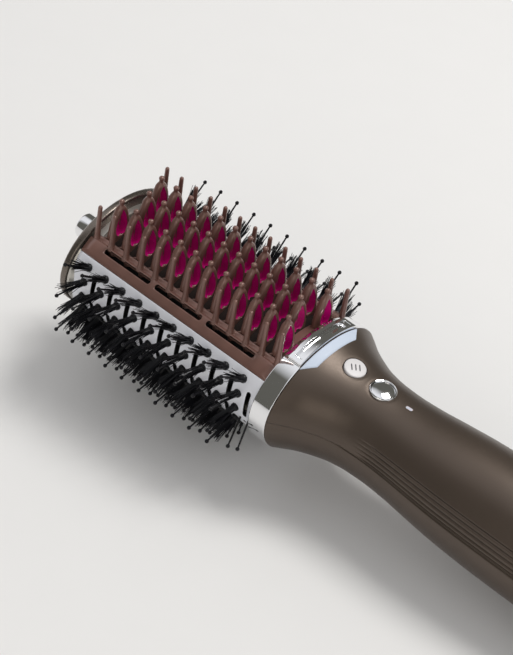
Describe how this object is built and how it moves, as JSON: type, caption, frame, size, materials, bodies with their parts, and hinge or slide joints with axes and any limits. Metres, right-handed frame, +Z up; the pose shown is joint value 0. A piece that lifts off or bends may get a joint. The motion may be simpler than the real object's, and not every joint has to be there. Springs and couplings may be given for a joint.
{
  "type": "hot air brush",
  "caption": "Hot air brush: oval heated barrel with bristle strips, a comb of leaf-shaped fins on top, a chrome collar, and a waisted round grip with two push buttons.",
  "frame": {"origin": "bottom centre of the bounding box of the brush as it lies on a table, on its lowest bristles and the rear edge of its grip", "axes": "+X along the length towards the tip knob, +Y to the left of someone who looks towards the tip, +Z up, with the comb on top"},
  "size_m": [0.3398, 0.0876, 0.0803],
  "materials": {
    "barrel_grey": "satin ceramic coat, lavender grey",
    "bristle_black": "black nylon",
    "comb_brown": "satin copper brown",
    "insert_magenta": "deep magenta",
    "trim_silver": "pale silver plating",
    "grip_bronze": "satin metallic bronze",
    "chrome": "polished",
    "button_white": "warm white",
    "led_pale": "clear pale blue",
    "board_green": "green solder mask",
    "inner_black": "black",
    "heater_mica": "mica sheet",
    "motor_steel": "plain steel can",
    "inlet_dark": "dark brown, satin",
    "gland_rubber": "black"
  },
  "bodies": {
    "brush": {"barrel_shell": "barrel_grey", "bristle_strip_01": "bristle_black", "bristle_strip_02": "bristle_black", "bristle_strip_03": "bristle_black", "bristle_strip_04": "bristle_black", "bristle_strip_05": "bristle_black", "bristle_strip_06": "bristle_black", "bristle_strip_07": "bristle_black", "bristle_strip_08": "bristle_black", "bristle_strip_09": "bristle_black", "bristle_strip_10": "bristle_black", "comb_plate": "comb_brown", "comb_insert": "insert_magenta", "tip_ring": "trim_silver", "end_cap": "grip_bronze", "tip_knob": "chrome", "collar_ring": "chrome", "collar_tongue": "trim_silver", "upper_grip": "grip_bronze", "lower_grip": "grip_bronze", "power_ring": "chrome", "led_lens": "led_pale", "switch_board": "board_green", "mode_switch": "inner_black", "power_switch": "inner_black", "heater_core": "heater_mica", "motor": "motor_steel", "motor_mount": "inner_black", "inlet_grille": "inlet_dark"},
    "mode_button": {"mode_button": "button_white"},
    "power_button": {"power_button": "chrome"},
    "fan": {"fan_rotor": "inner_black"},
    "gland": {"cord_gland": "gland_rubber"}
  },
  "joints": [
    {"name": "mode_press", "type": "slide", "parent": "brush", "child": "mode_button", "axis": [0.2923, 0, -0.9563], "range_m": [0, 0.0008], "stiffness_N_per_m": 1500},
    {"name": "power_press", "type": "slide", "parent": "brush", "child": "power_button", "axis": [0.1391, 0, -0.9903], "range_m": [0, 0.0008], "stiffness_N_per_m": 1500},
    {"name": "fan_spin", "type": "hinge", "parent": "brush", "child": "fan", "pos_m": [-0.11042, 0, 0.02292], "axis": [0.9962, 0, 0.0871], "continuous": true},
    {"name": "gland_swivel", "type": "hinge", "parent": "brush", "child": "gland", "pos_m": [-0.15654, 0, 0.01889], "axis": [0.9962, 0, 0.0871], "continuous": true}
  ]
}
